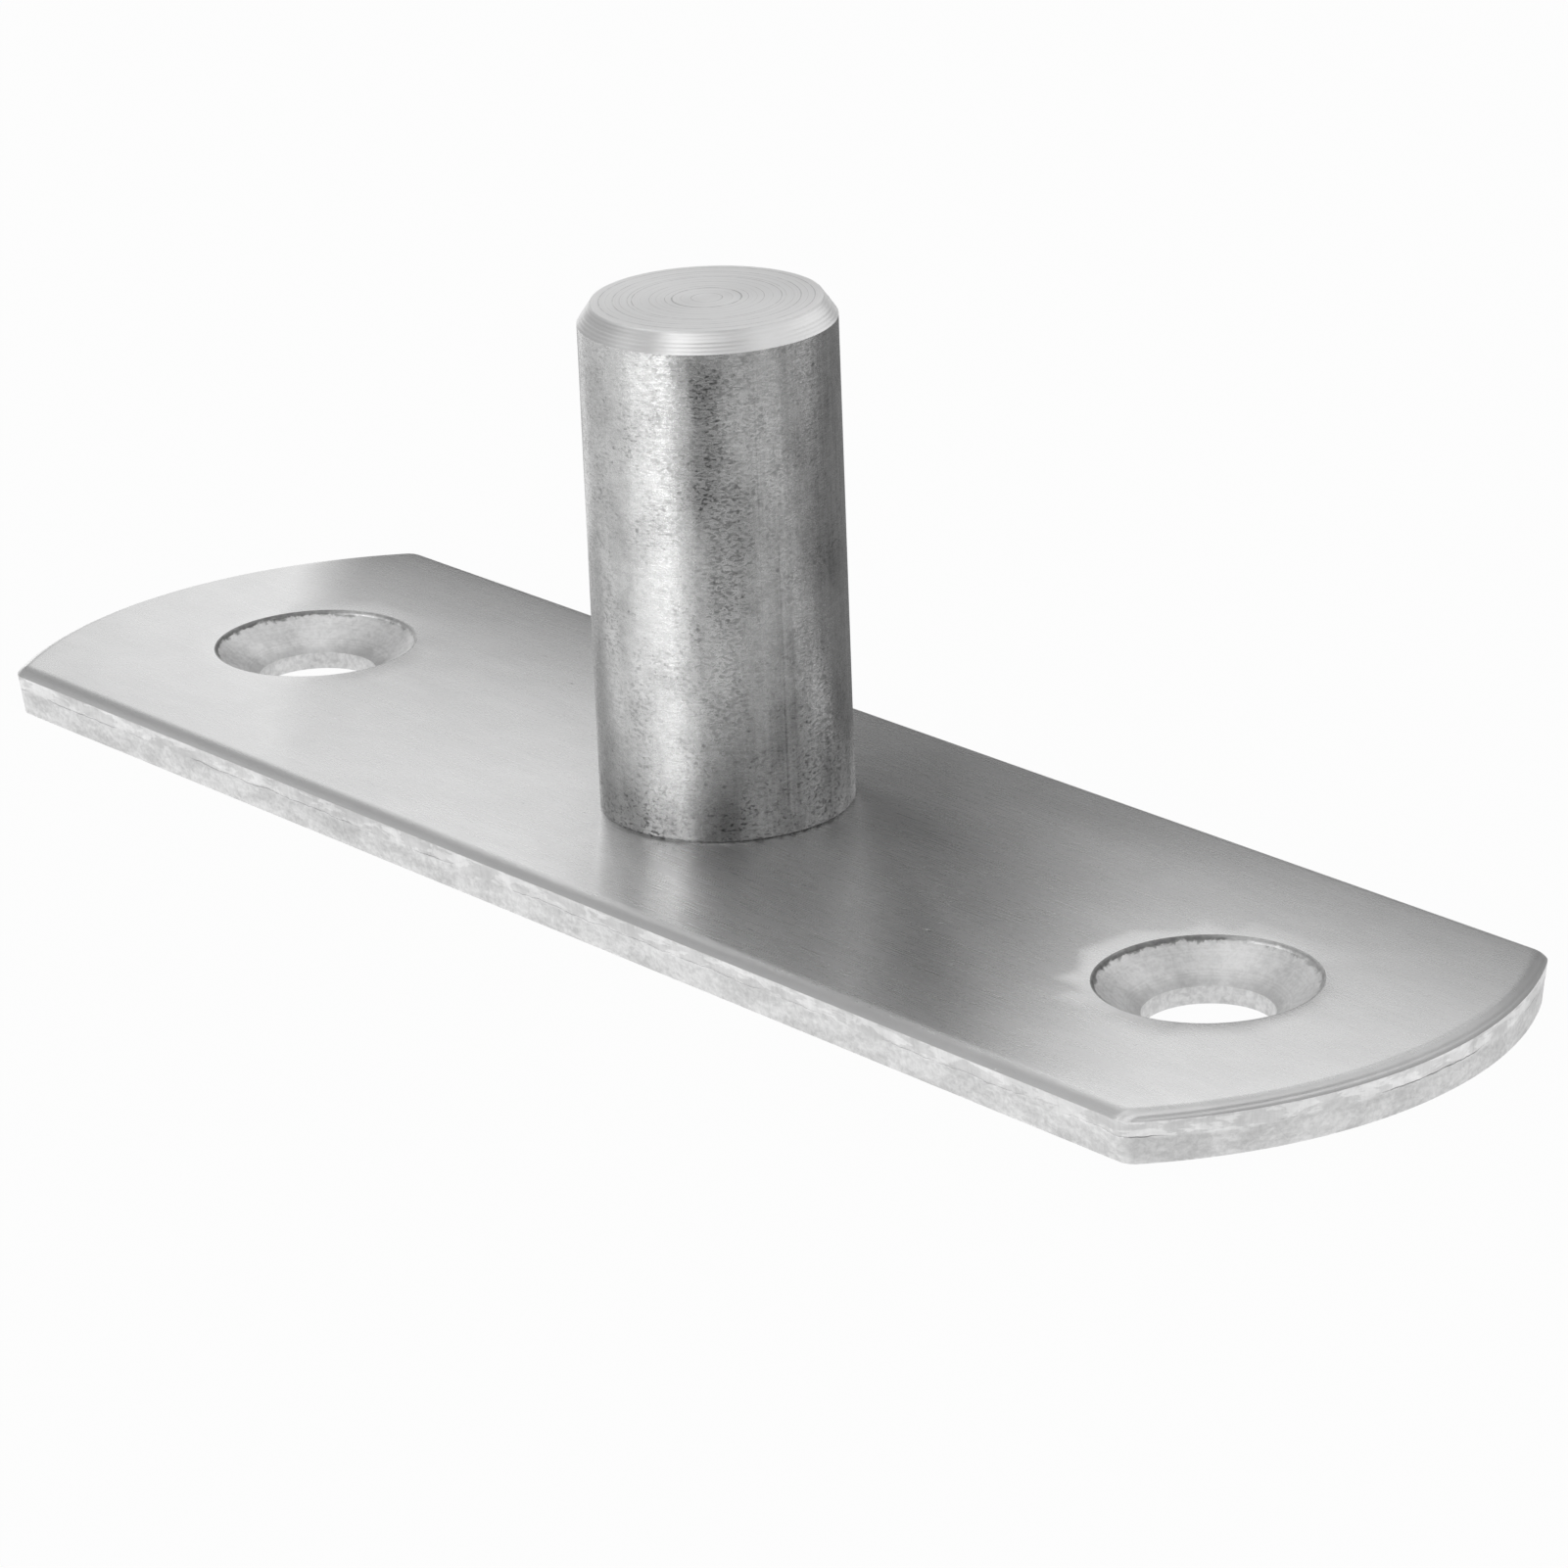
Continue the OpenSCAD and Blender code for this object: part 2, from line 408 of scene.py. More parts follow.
def flat_face(loops, height, grid):
    """Triangles of a flat face with holes: the longest loop is its outline."""
    loops = sorted(loops, key=lambda loop: -max(p.x for p in loop) + min(p.x for p in loop))
    outline = np.array([(p.x, p.y) for p in loops[0]]) / mm
    holes = [np.array([(p.x, p.y) for p in loop]) / mm for loop in loops[1:]]
    points = [tuple(p) for p in outline]
    edges = [(i, (i + 1) % len(outline)) for i in range(len(outline))]
    discs = []
    for hole in holes:
        first = len(points)
        points += [tuple(p) for p in hole]
        edges += [(first + i, first + (i + 1) % len(hole)) for i in range(len(hole))]
        centre = (hole.max(0) + hole.min(0)) / 2
        discs.append((centre, np.hypot(*(hole - centre).T).max()))

    def within(spots):
        inside = np.zeros(len(spots), bool)
        for (ax, ay), (bx, by) in zip(outline, np.roll(outline, -1, axis=0)):
            if ay != by:
                crosses = (ay > spots[:, 1]) != (by > spots[:, 1])
                inside ^= crosses & (spots[:, 0] < (bx - ax) * (spots[:, 1] - ay) / (by - ay) + ax)
        return inside

    # A loose grid of points well off the edges keeps the triangles compact
    half_x = plate_length / 2 / mm
    half_y = plate_width / 2 / mm
    rim = 1.6
    rim_share = 0.985
    gx, gy = np.meshgrid(np.arange(-half_x, half_x, grid), np.arange(-half_y, half_y, grid))
    spots = np.c_[gx.ravel(), gy.ravel()]
    spots = spots[within(spots / rim_share)]
    for centre, radius in discs:
        spots = spots[np.hypot(*(spots - centre).T) > radius + grid / 3]
    spots = spots[np.abs(spots[:, 1]) < half_y - rim]
    points += [tuple(p) for p in spots]
    placed = [Vector((float(x), float(y))) for x, y in points]
    found = geometry.delaunay_2d_cdt(placed, edges, [], 0, 1e-6)
    corners = np.array([tuple(v) for v in found[0]])
    faces = np.array([f for f in found[2] if len(f) == 3])
    middles = corners[faces].mean(1)
    good = within(middles)
    for centre, radius in discs:
        good &= np.hypot(*(middles - centre).T) > radius * 0.9999
    flat = np.c_[corners * mm, np.full(len(corners), height)]
    return flat, faces[good]


def grey_of(wires, value):
    return wires.node("ShaderNodeCombineColor", {0: value, 1: value, 2: value}).outputs[0]


def new_metal(name, roughness, anisotropy):
    """Material with a metal shader and its wiring."""
    material = bpy.data.materials.new(name)
    material.use_nodes = True
    material.node_tree.nodes.clear()
    wires = Wiring(material.node_tree)
    shader = wires.node("ShaderNodeBsdfPrincipled")
    shader.inputs["Metallic"].default_value = 1.0
    shader.inputs["Roughness"].default_value = roughness
    shader.inputs["Anisotropic"].default_value = anisotropy
    wires.node("ShaderNodeOutputMaterial", {0: shader.outputs[0]})
    place = wires.node("ShaderNodeTexCoord").outputs["Object"]
    return material, wires, shader, place


def give_looks(wires, shader, tone, rough, height, relief):
    """Feeds a metal its grey tone, its roughness and a relief as deep as given."""
    wires.feed(shader.inputs["Base Color"], grey_of(wires, tone))
    wires.feed(shader.inputs["Roughness"], rough)
    feeds = {"Height": height, "Distance": relief, "Strength": 1.0}
    wires.feed(shader.inputs["Normal"], wires.node("ShaderNodeBump", feeds).outputs[0])


def new_effect(name, inputs, outputs):
    """Empty shader node group for an effect that several finishes use."""
    group = bpy.data.node_groups.new(name, "ShaderNodeTree")
    for socket_name, value in inputs.items():
        kind = "NodeSocketVector" if isinstance(value, tuple) else "NodeSocketFloat"
        socket = group.interface.new_socket(socket_name, in_out="INPUT", socket_type=kind)
        socket.default_value = value
    for socket_name in outputs:
        group.interface.new_socket(socket_name, in_out="OUTPUT", socket_type="NodeSocketFloat")
    wires = Wiring(group)
    return group, wires, wires.node("NodeGroupInput").outputs


def effect(wires, group, **feeds):
    """Adds an effect to a finish and returns what it gives."""
    made = wires.node("ShaderNodeGroup", node_tree=group)
    for name, value in feeds.items():
        wires.feed(made.inputs[name], value)
    return made.outputs


# Effects that the finishes share: drawn or brushed lines, cloudy patches, pits, scratches and
# the rings that a turning tool leaves
inputs = {"Place": (0.0, 0.0, 0.0), "Grain": (1.0, 1.0, 1.0), "Contrast": 1.0}
lines_effect, wires, given = new_effect("Drawn lines", inputs, ["Lines"])
scaled = wires.vector("DIVIDE", given["Place"], given["Grain"])
feeds = {"Vector": scaled, "Scale": 1.0, "Detail": 3.0, "Roughness": 0.6}
fine = wires.node("ShaderNodeTexNoise", feeds).outputs[0]
centred = wires.times(wires.calc("SUBTRACT", fine, 0.5), given["Contrast"])
wires.node("NodeGroupOutput", {"Lines": wires.calc("ADD", centred, 0.5, clamp=True)})


def lines(wires, place, grain, contrast):
    """Drawn lines whose grain is given in millimetres."""
    size = tuple(g * mm for g in grain)
    return effect(wires, lines_effect, Place=place, Grain=size, Contrast=contrast)["Lines"]


inputs = {"Place": (0.0, 0.0, 0.0), "Grain": (1.0, 1.0, 1.0), "From": 0.4, "To": 0.6}
patch_effect, wires, given = new_effect("Cloudy patches", inputs, ["Patches"])
scaled = wires.vector("DIVIDE", given["Place"], given["Grain"])
feeds = {"Vector": scaled, "Scale": 1.0, "Detail": 6.0, "Roughness": 0.62, "Distortion": 0.4}
cloud = wires.node("ShaderNodeTexNoise", feeds).outputs[0]
wires.node("NodeGroupOutput", {"Patches": wires.fade(cloud, given["From"], given["To"])})


def patches(wires, place, grain, start, end):
    """Cloudy patches whose grain is given in millimetres."""
    size = tuple(g * mm for g in grain)
    return effect(wires, patch_effect, Place=place, Grain=size, From=start, To=end)["Patches"]


inputs = {"Place": (0.0, 0.0, 0.0), "Spacing": 1.0, "Size": 0.2, "Share": 0.3}
pit_effect, wires, given = new_effect("Pits", inputs, ["Pits"])
spacing = given["Spacing"]
scaled = wires.vector("DIVIDE", given["Place"], wires.xyz(spacing, spacing, spacing))
cells = wires.node("ShaderNodeTexVoronoi", {"Vector": scaled, "Scale": 1.0})
pick = wires.node("ShaderNodeSeparateColor", {0: cells.outputs["Color"]}).outputs
radius = wires.times(given["Size"], wires.calc("ADD", 0.4, pick[1]))
spot = wires.fade(cells.outputs["Distance"], radius, wires.times(radius, 0.4))
chosen = wires.calc("LESS_THAN", pick[0], given["Share"])
wires.node("NodeGroupOutput", {"Pits": wires.times(spot, chosen)})

inputs = {"Place": (0.0, 0.0, 0.0), "Turn": 0.0, "Length": 1.0, "Width": 0.1, "From": 0.72}
scratch_effect, wires, given = new_effect("Scratches", inputs, ["Scratches"])
feeds = {"Vector": given["Place"], "Axis": (0.0, 0.0, 1.0), "Angle": given["Turn"]}
turned = wires.node("ShaderNodeVectorRotate", feeds).outputs[0]
scaled = wires.vector("DIVIDE", turned, wires.xyz(given["Length"], given["Width"], given["Width"]))
feeds = {"Vector": scaled, "Scale": 1.0, "Detail": 1.0, "Roughness": 0.4}
field = wires.node("ShaderNodeTexNoise", feeds).outputs[0]
mark = wires.fade(field, given["From"], wires.calc("ADD", given["From"], 0.05))
wires.node("NodeGroupOutput", {"Scratches": mark})

inputs = {"Place": (0.0, 0.0, 0.0), "Pitch": 0.2 * mm, "Wobble": 0.3, "Seed": 0.0}
rings_effect, wires, given = new_effect("Turned rings", inputs, ["Rings", "Radius"])
spread = wires.parts(given["Place"])
squares = wires.calc("ADD", wires.times(spread[0], spread[0]), wires.times(spread[1], spread[1]))
radius = wires.calc("SQRT", squares)
waver = wires.noise(given["Place"], 1.5 * mm, 1.0)
steps = wires.calc("DIVIDE", radius, given["Pitch"])
steps = wires.calc("ADD", steps, wires.times(waver, given["Wobble"]))
steps = wires.xyz(steps, given["Seed"], 0.0)
feeds = {"Vector": steps, "Scale": 1.0, "Detail": 2.0, "Roughness": 0.6}
ring = wires.node("ShaderNodeTexNoise", feeds).outputs[0]
wires.node("NodeGroupOutput", {"Rings": ring, "Radius": radius})

# Brushed face of the plate
brushed_steel, wires, shader, place = new_metal("brushed_steel", 0.28, 1.0)
fine = lines(wires, place, (5, 0.07, 0.4), 2.2)
broad = lines(wires, place, (12, 0.5, 2), 1.2)
cloud = patches(wires, place, (6, 3, 3), 0.3, 0.72)
long_place = wires.vector("MULTIPLY", place, (0.4, 1.0, 1.0))
nicks = effect(wires, pit_effect, Place=long_place, Spacing=1.9 * mm, Size=0.05, Share=0.3)["Pits"]
glints = effect(wires, pit_effect, Place=place, Spacing=1.3 * mm, Size=0.045, Share=0.4)["Pits"]
feeds = {"Place": place, "Turn": 0.25, "Length": 2.4 * mm, "Width": 0.12 * mm, "From": 0.76}
marks = effect(wires, scratch_effect, **feeds)["Scratches"]
tone = wires.plus(0.825, fine, 0.03)
tone = wires.plus(tone, broad, 0.03)
tone = wires.plus(tone, cloud, 0.05)
tone = wires.plus(tone, marks, -0.08)
tone = wires.plus(tone, nicks, -0.35)
tone = wires.plus(tone, glints, 0.1)
ragged = patches(wires, place, (0.9, 0.9, 0.9), 0.3, 0.7)
high = wires.plus(wires.parts(place)[2], ragged, 0.12 * mm, 0.5)
rolled = wires.fade(high, 2.98 * mm, 2.6 * mm)
tone = wires.plus(tone, rolled, -0.05)
rough = wires.plus(wires.plus(0.27, fine, 0.01), rolled, 0.1)
height = wires.plus(fine, broad, 1.2)
height = wires.plus(height, nicks, -48.0)
height = wires.plus(height, glints, 48.0)
give_looks(wires, shader, tone, rough, height, 0.00025 * mm)
wires.feed(shader.inputs["Tangent"], wires.xyz(0.0, 1.0, 0.0))

# Sheared side of the plate
sheared_steel, wires, shader, place = new_metal("sheared_steel", 0.5, 0.0)
torn = wires.node("ShaderNodeAttribute", attribute_name="torn").outputs["Fac"]
tear = wires.node("ShaderNodeAttribute", attribute_name="tear_line").outputs["Fac"]
streaks = lines(wires, place, (0.22, 0.22, 9), 1.8)
grit = patches(wires, place, (0.35, 0.35, 0.3), 0.3, 0.7)
cloud = patches(wires, place, (2.4, 2.4, 1.0), 0.36, 0.64)
bright = patches(wires, place, (2.2, 2.2, 0.7), 0.48, 0.54)
smooth_tone = wires.plus(0.64, streaks, 0.1)
smooth_tone = wires.plus(smooth_tone, bright, 0.14)
torn_tone = wires.plus(0.68, grit, 0.14)
smooth = wires.calc("SUBTRACT", 1.0, torn)
mixed = wires.calc("ADD", wires.times(torn, torn_tone), wires.times(smooth, smooth_tone))
mixed = wires.plus(mixed, cloud, 0.14, 0.5)
mixed = wires.plus(mixed, tear, -0.05)
rough = wires.plus(0.45, torn, 0.15)
height = wires.plus(wires.times(torn, grit), streaks, 0.3)
give_looks(wires, shader, mixed, rough, height, 0.01 * mm)

# Cut face of the countersinks
cut_steel, wires, shader, place = new_metal("cut_steel", 0.5, 0.3)
spread = wires.parts(place)
mirrored = wires.calc("SUBTRACT", wires.calc("ABSOLUTE", spread[0]), hole_spacing / 2)
centred = wires.xyz(mirrored, spread[1], spread[2])
hole_x = wires.times(wires.calc("SIGN", spread[0]), hole_spacing / 2)
beside = wires.calc("SUBTRACT", spread[0], hole_x)
wires.feed(shader.inputs["Tangent"], wires.xyz(beside, spread[1], 0.0))
rings = effect(wires, rings_effect, Place=centred, Pitch=0.16 * mm, Wobble=1.2)["Rings"]
grit = patches(wires, place, (0.32, 0.32, 0.32), 0.3, 0.7)
cloud = patches(wires, place, (1.6, 1.6, 1.6), 0.35, 0.65)
tone = wires.plus(0.8, rings, 0.24)
tone = wires.plus(tone, grit, 0.16, 0.5)
tone = wires.plus(tone, cloud, 0.1, 0.5)
ragged = patches(wires, place, (0.8, 0.8, 0.8), 0.3, 0.7)
high = wires.plus(spread[2], ragged, 0.3 * mm, 0.5)
lip = wires.fade(high, 2.68 * mm, 2.84 * mm)
# Painted shade on the countersinks' lips: darker all round, and darker still on the part of each
# lip towards the plate's -X end
lip_shade_direction = (-0.99, -0.14, 0.0)
side = wires.vector("DOT_PRODUCT", wires.xyz(beside, spread[1], 0.0), lip_shade_direction, out="Value")
lip_shade_side = wires.fade(side, 1.5 * mm, 5 * mm)
dark = wires.times(lip, wires.plus(0.3, lip_shade_side, 0.25))
tone = wires.calc("SUBTRACT", tone, dark)
# Painted shade deeper in the holes: the bore and the lower part of the cone are darker, broken up
# by grit
bore = wires.fade(spread[2], 1.06 * mm, 1.0 * mm)
tone = wires.calc("SUBTRACT", tone, wires.times(bore, wires.plus(0.06, grit, 0.3)))
low = wires.times(wires.fade(high, 1.7 * mm, 1.2 * mm), wires.calc("SUBTRACT", 1.0, bore))
tone = wires.calc("SUBTRACT", tone, wires.times(low, wires.plus(0.04, grit, 0.24)))
rough = wires.plus(0.44, grit, 0.14)
give_looks(wires, shader, tone, rough, wires.plus(rings, grit, 0.4), 0.008 * mm)

# The outline at the plate's widest, the edge carried round it and the two countersunk holes
outline = plate_outline(0.09 * mm)
outline_mesh = bpy.data.meshes.new("outline")
links = [(i, (i + 1) % len(outline)) for i in range(len(outline))]
outline_mesh.from_pydata([(x, y, 0.0) for x, y in outline], links, [])
rim_mesh = run_tree(blanked_edge_tree(brushed_steel, sheared_steel), outline_mesh, edge_sizes)
sink_mesh = run_tree(countersink_tree(cut_steel), outline_mesh, sink_sizes)

# Hidden hole that the tenon is riveted into, wider at the underside
tenon_form = bmesh.new()
rings = []
sides = 96
angles = [2 * math.pi * i / sides for i in range(sides)]
turns = [(math.cos(a), math.sin(a)) for a in angles]
profile = [
    (tenon_flare_radius, 0.0),
    (tenon_hole_radius, tenon_flare_height),
    (tenon_hole_radius, plate_thick),
]
for radius, rise in profile:
    rings.append([tenon_form.verts.new((radius * x, radius * y, rise)) for x, y in turns])
for low, high in zip(rings, rings[1:]):
    for i in range(sides):
        j = (i + 1) % sides
        tenon_form.faces.new((low[i], low[j], high[j], high[i]))
tenon_mesh = bpy.data.meshes.new("tenon_hole")
tenon_form.to_mesh(tenon_mesh)
tenon_form.free()
tenon_mesh.materials.append(cut_steel)

# These three and a flat face above and below them make the whole plate
finishes = [brushed_steel, sheared_steel, cut_steel]
form = bmesh.new()
for part in (rim_mesh, sink_mesh, tenon_mesh):
    order = {i: finishes.index(m) for i, m in enumerate(part.materials) if m in finishes}
    for polygon in part.polygons:
        polygon.material_index = order.get(polygon.material_index, 0)
    form.from_mesh(part)
for height in (plate_thick, 0.0):
    loops = loops_of(rim_mesh, height) + loops_of(sink_mesh, height) + loops_of(tenon_mesh, height)
    corners, faces = flat_face(loops, height, 2.0)
    made = [form.verts.new(tuple(c)) for c in corners]
    for a, b, c in faces:
        form.faces.new((made[a], made[b], made[c]))
bmesh.ops.remove_doubles(form, verts=form.verts, dist=0.0008 * mm)
loose = [v for v in form.verts if not v.link_faces]
bmesh.ops.delete(form, geom=loose, context="VERTS")
bmesh.ops.recalc_face_normals(form, faces=form.faces)
plate_mesh = bpy.data.meshes.new("base_plate_finished")
form.to_mesh(plate_mesh)
form.free()
for finish in finishes:
    plate_mesh.materials.append(finish)
plate_mesh.polygons.foreach_set("use_smooth", [True] * len(plate_mesh.polygons))
plate_mesh.set_sharp_from_angle(angle=math.radians(38))
base_plate = bpy.data.objects.new("base_plate_finished", plate_mesh)
bpy.context.scene.collection.objects.link(base_plate)
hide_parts("base_plate")
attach(base_plate, "root")

# Pivot pin. Drawn steel bar 15 mm thick, faced and chamfered in a lathe. A tenon turned on its
# lower end goes through the plate and is spread cold at the underside, so that it can't turn.
pin_sizes = {
    "Pin radius": 7.5 * mm,
    "Foot height": 3 * mm,
    "Foot bevel": 0.15 * mm,
    "Top height": 33.5 * mm,
    "Chamfer width": 0.8 * mm,
    "Chamfer height": 1.2 * mm,
    "Edge softening": 0.04 * mm,
    "Ridge count": 6.0,
    "Ridge depth": 0.01 * mm,
    "Ring depth": 0.012 * mm,
    "Tenon radius": 5 * mm,
    "Rivet radius": 6.4 * mm,
    "Rivet height": 1.4 * mm,
    "Rivet recess": 0.1 * mm,
    "Hammer depth": 0.04 * mm,
    "Draw waves": 0.006 * mm,
}


def turned_pin_tree(bar_steel, turned_steel):
    """Tree that turns the pin's section and puts the lathe's ridges on its upper end."""
    tree, wires, size = new_geometry_tree("Turned pin", pin_sizes)
    path = round_path(wires, 256)
    radius = size["Pin radius"]
    foot = size["Foot height"]
    top = size["Top height"]
    tenon = size["Tenon radius"]
    recess = size["Rivet recess"]
    spread = wires.calc("SUBTRACT", size["Rivet radius"], tenon)
    slope = wires.calc("DIVIDE", spread, size["Rivet height"])
    rivet_end_radius = wires.calc("SUBTRACT", size["Rivet radius"], wires.times(recess, slope))
    bevel_radius = wires.calc("SUBTRACT", radius, size["Foot bevel"])
    bevel_top = wires.calc("ADD", foot, size["Foot bevel"])
    shank_top = wires.calc("SUBTRACT", top, size["Chamfer height"])
    face_radius = wires.calc("SUBTRACT", radius, size["Chamfer width"])
    # Section from the axis below to the axis above: reach, rise and rows up to the next corner
    corners = [
        (0.0, recess, 12),
        (rivet_end_radius, recess, 3),
        (tenon, size["Rivet height"], 1),
        (tenon, foot, 2),
        (bevel_radius, foot, 2),
        (radius, bevel_top, 70),
        (radius, shank_top, 36),
        (face_radius, top, 96),
        (0.0, top, 0),
    ]
    stretches = []
    for (start_reach, start_rise, rows), (end_reach, end_rise, _) in zip(corners, corners[1:]):
        start = (start_reach, start_rise)
        stretches.append(section_line(wires, start, (end_reach, end_rise), rows))
    pin = swept(wires, path, stretches)
    reach = kept(wires, "reach")
    rise = kept(wires, "rise")
    side = kept(wires, "outward", "FLOAT_VECTOR")
    up = wires.calc("DIVIDE", wires.calc("SUBTRACT", rise, shank_top), size["Chamfer height"])
    on_chamfer = wires.times(wires.fade(up, 0.0, 0.06), wires.fade(up, 1.0, 0.9))
    phase = wires.times(up, size["Ridge count"], math.pi)
    ridge = wires.calc("ABSOLUTE", wires.calc("SINE", phase))
    ridge = wires.times(ridge, on_chamfer, size["Ridge depth"])
    across = wires.xyz(reach, reach, reach)
    spot = wires.vector("MULTIPLY_ADD", side, across, wires.xyz(0.0, 0.0, rise))
    waves = wires.noise(spot, 4.0 * mm, 3.0)
    above_foot = wires.fade(rise, bevel_top, wires.calc("ADD", bevel_top, 1 * mm))
    below_chamfer = wires.fade(rise, shank_top, wires.calc("SUBTRACT", shank_top, 1 * mm))
    on_shank = wires.times(above_foot, below_chamfer)
    wave = wires.times(waves, on_shank, size["Draw waves"])
    new_reach = wires.calc("SUBTRACT", reach, wires.calc("ADD", ridge, wave))
    away = wires.calc("DIVIDE", wires.calc("SUBTRACT", reach, face_radius), 0.3 * mm)
    round_off = wires.calc("EXPONENT", wires.times(-1.0, wires.times(away, away)))
    high = wires.fade(up, 0.5, 0.7)
    softened = wires.times(wires.times(round_off, high), size["Edge softening"])
    rings = wires.noise(wires.xyz(reach, 0.0, 0.0), 0.55 * mm, 4.0, 0.6)
    within_edge = wires.fade(reach, face_radius, wires.calc("SUBTRACT", face_radius, 0.3 * mm))
    on_face = wires.times(wires.fade(up, 0.98, 0.999), within_edge)
    sunk = wires.times(rings, on_face, size["Ring depth"])
    dents = wires.noise(spot, 1.8 * mm, 2.0)
    below = wires.fade(rise, wires.calc("ADD", recess, 0.05 * mm), recess)
    hammered = wires.times(below, dents, size["Hammer depth"])
    new_rise = wires.calc("ADD", rise, hammered)
    new_rise = wires.calc("SUBTRACT", new_rise, wires.calc("ADD", softened, sunk))
    spot = wires.vector("MULTIPLY", side, wires.xyz(new_reach, new_reach, new_reach))
    spot = wires.vector("ADD", spot, wires.xyz(0.0, 0.0, new_rise))
    pin = wires.node("GeometryNodeSetPosition", {"Geometry": pin, "Position": spot}).outputs[0]
    feeds = {"Geometry": pin, "Distance": weld_gap}
    pin = wires.node("GeometryNodeMergeByDistance", feeds).outputs[0]
    pin = wires.node("GeometryNodeRealizeInstances", {"Geometry": pin}).outputs[0]
    pin = painted(wires, pin, bar_steel)
    turned = wires.calc("GREATER_THAN", rise, wires.calc("ADD", shank_top, 0.005 * mm))
    wires.node("NodeGroupOutput", {0: painted(wires, pin, turned_steel, turned)})
    return tree


# Drawn skin of the bar: lines along it, scuffs round it, specks of scale and handling stains,
# darker towards its foot, with painted shade low on its right side
drawn_steel, wires, shader, place = new_metal("drawn_steel", 0.3, 0.7)
wires.feed(shader.inputs["Tangent"], wires.xyz(0.0, 0.0, 1.0))
spread = wires.parts(place)
around = wires.calc("ARCTAN2", spread[1], spread[0])
draw = lines(wires, place, (0.3, 0.3, 26), 1.5)
wide_draw = lines(wires, place, (1.6, 1.6, 40), 1.5)
mottle = patches(wires, place, (0.7, 0.7, 0.45), 0.4, 0.62)
dirt = patches(wires, place, (0.3, 0.3, 0.17), 0.47, 0.68)
cloud = patches(wires, place, (3.5, 3.5, 5), 0.42, 0.6)
specks = effect(wires, pit_effect, Place=place, Spacing=0.8 * mm, Size=0.16, Share=0.3)["Pits"]
scuffs = patches(wires, place, (0.9, 0.9, 0.13), 0.42, 0.66)
hairs = lines(wires, place, (4, 4, 0.06), 1.6)
upper = wires.fade(spread[2], 15 * mm, 30 * mm)
scuffed = wires.times(scuffs, wires.plus(0.35, upper, 0.5))


def band(low, low_soft, high, high_soft, value):
    """Mask that is 1 where a value lies between two limits and fades out past them."""
    rising = wires.fade(value, low - low_soft, low + low_soft)
    falling = wires.fade(value, high + high_soft, high - high_soft)
    return wires.times(rising, falling)


# Handling stains: lowest and highest point, first and last azimuth, each with the width of its
# soft edge, and strength
stain_places = [
    (16.5 * mm, 1 * mm, 25 * mm, 4 * mm, -0.76, 0.06, -0.42, 0.12, 1.0),
    (22 * mm, 2 * mm, 31.5 * mm, 1 * mm, -0.85, 0.04, -0.62, 0.08, 1.0),
    (26 * mm, 1.2 * mm, 29 * mm, 1.2 * mm, -1.42, 0.08, -1.06, 0.08, 0.6),
    (17 * mm, 1.5 * mm, 22 * mm, 2 * mm, 0.05, 0.1, 0.6, 0.2, 0.6),
]
stains_and_shade = 0.0
for low, low_soft, high, high_soft, first, first_soft, last, last_soft, strength in stain_places:
    in_height = band(low, low_soft, high, high_soft, spread[2])
    stain = wires.times(in_height, band(first, first_soft, last, last_soft, around))
    stains_and_shade = wires.calc("MAXIMUM", stains_and_shade, wires.times(stain, strength))
# Darker towards the foot all round, and painted shade low on the right side, away from the light;
# both join the stains
darker_foot_and_shade = wires.fade(spread[2], 7 * mm, 4.5 * mm)
right = wires.fade(around, -0.75, -0.25)
shade = wires.times(wires.fade(spread[2], 13 * mm, 7 * mm), right, 0.9)
darker_foot_and_shade = wires.calc("MAXIMUM", wires.times(darker_foot_and_shade, 0.9), shade)
stains_and_shade = wires.calc("MAXIMUM", stains_and_shade, darker_foot_and_shade)
stains_and_shade = wires.times(stains_and_shade, wires.plus(0.4, dirt, 0.6))

# Deeper single marks: azimuth, lowest and highest point, half width, and how dark
single_marks = [
    (-0.18, 4 * mm, 19 * mm, 0.09 * mm, -0.5),
    (-0.205, 5 * mm, 21 * mm, 0.05 * mm, 0.6),
    (-0.36, 15 * mm, 31 * mm, 0.04 * mm, 0.35),
    (-0.33, 22 * mm, 31 * mm, 0.05 * mm, 0.3),
    (0.52, 23.5 * mm, 26.5 * mm, 0.07 * mm, 1.2),
    (0.6, 17 * mm, 24 * mm, 0.06 * mm, 0.7),
]
marks = 0.0
for azimuth, low, high, half_width, dark in single_marks:
    away = wires.calc("ABSOLUTE", wires.calc("SUBTRACT", around, azimuth))
    line = wires.fade(wires.times(away, pin_sizes["Pin radius"]), half_width, half_width * 0.3)
    line = wires.times(line, band(low, 0.8 * mm, high, 0.8 * mm, spread[2]))
    marks = wires.plus(marks, line, dark)
tone = wires.plus(0.58, mottle, 0.06)
tone = wires.plus(tone, draw, 0.05)
tone = wires.plus(tone, wide_draw, 0.06)
tone = wires.plus(tone, hairs, 0.04)
dirty = patches(wires, place, (2.6, 2.6, 3.6), 0.38, 0.62)
drawn_right = wires.times(wires.calc("SUBTRACT", draw, 0.5), right, 0.16)
tone = wires.calc("ADD", tone, drawn_right)
tone = wires.calc("SUBTRACT", tone, wires.times(dirt, wires.plus(0.03, dirty, 0.22)))
tone = wires.plus(tone, scuffed, -0.08)
tone = wires.plus(tone, cloud, -0.1)
tone = wires.plus(tone, stains_and_shade, -0.34)
tone = wires.plus(tone, specks, -0.2)
tone = wires.plus(tone, marks, -0.2)
tone = wires.calc("MAXIMUM", tone, 0.12)
rough = wires.plus(0.27, dirt, 0.12)
height = wires.plus(wires.times(draw, 0.25), mottle, 0.25)
